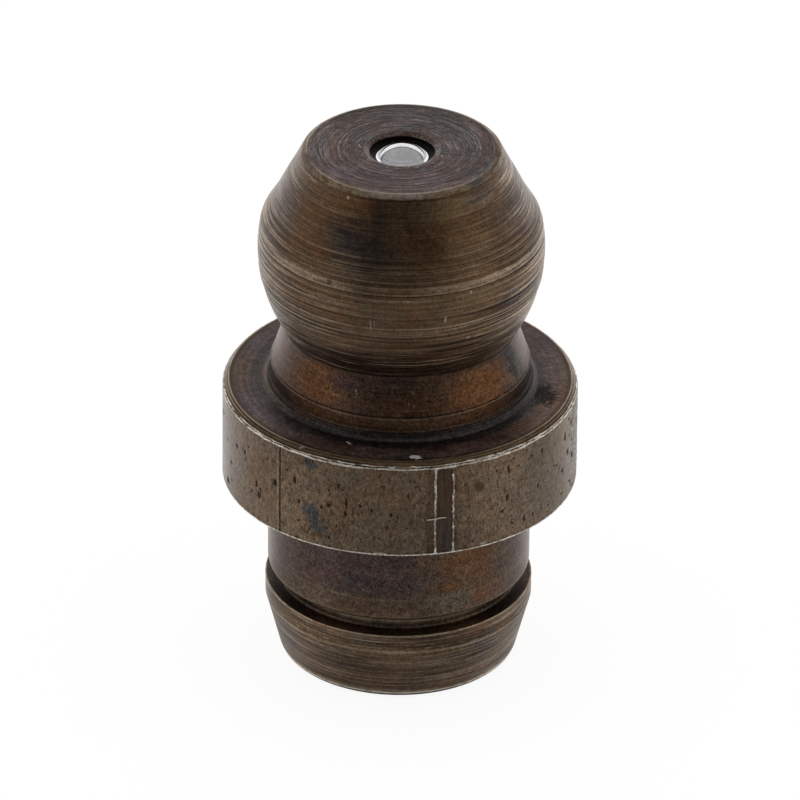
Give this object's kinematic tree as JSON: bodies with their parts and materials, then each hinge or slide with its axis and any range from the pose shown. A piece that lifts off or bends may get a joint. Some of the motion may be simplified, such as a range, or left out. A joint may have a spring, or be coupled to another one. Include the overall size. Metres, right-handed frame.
{
  "type": "grease nipple",
  "caption": "Push-in grease nipple: cone head with a spring-held check ball in its inlet, flared neck, round collar and a plain press-in shank with a barb ring.",
  "frame": {"origin": "centre of the lower end face, on the axis", "axes": "+Z along the axis towards the inlet; the body is round, so X and Y are free, and -Y faces the side with the two long drawing scratches on the collar"},
  "size_m": [0.0082, 0.0082, 0.0128],
  "materials": {
    "oxide_steel": "turned steel with a brown heat-tinted oxide, satin",
    "ball_steel": "hardened and polished",
    "spring_steel": "drawn spring wire, lightly oiled"
  },
  "bodies": {
    "nipple": {"nipple_body": "oxide_steel", "check_spring": "spring_steel"},
    "ball": {"check_ball": "ball_steel"}
  },
  "joints": [
    {"name": "ball_slide", "type": "slide", "parent": "nipple", "child": "ball", "axis": [0, 0, -1], "range_m": [0, 0.0008], "stiffness_N_per_m": 870, "springref_m": -0.002, "deforming": ["check_spring"]}
  ]
}
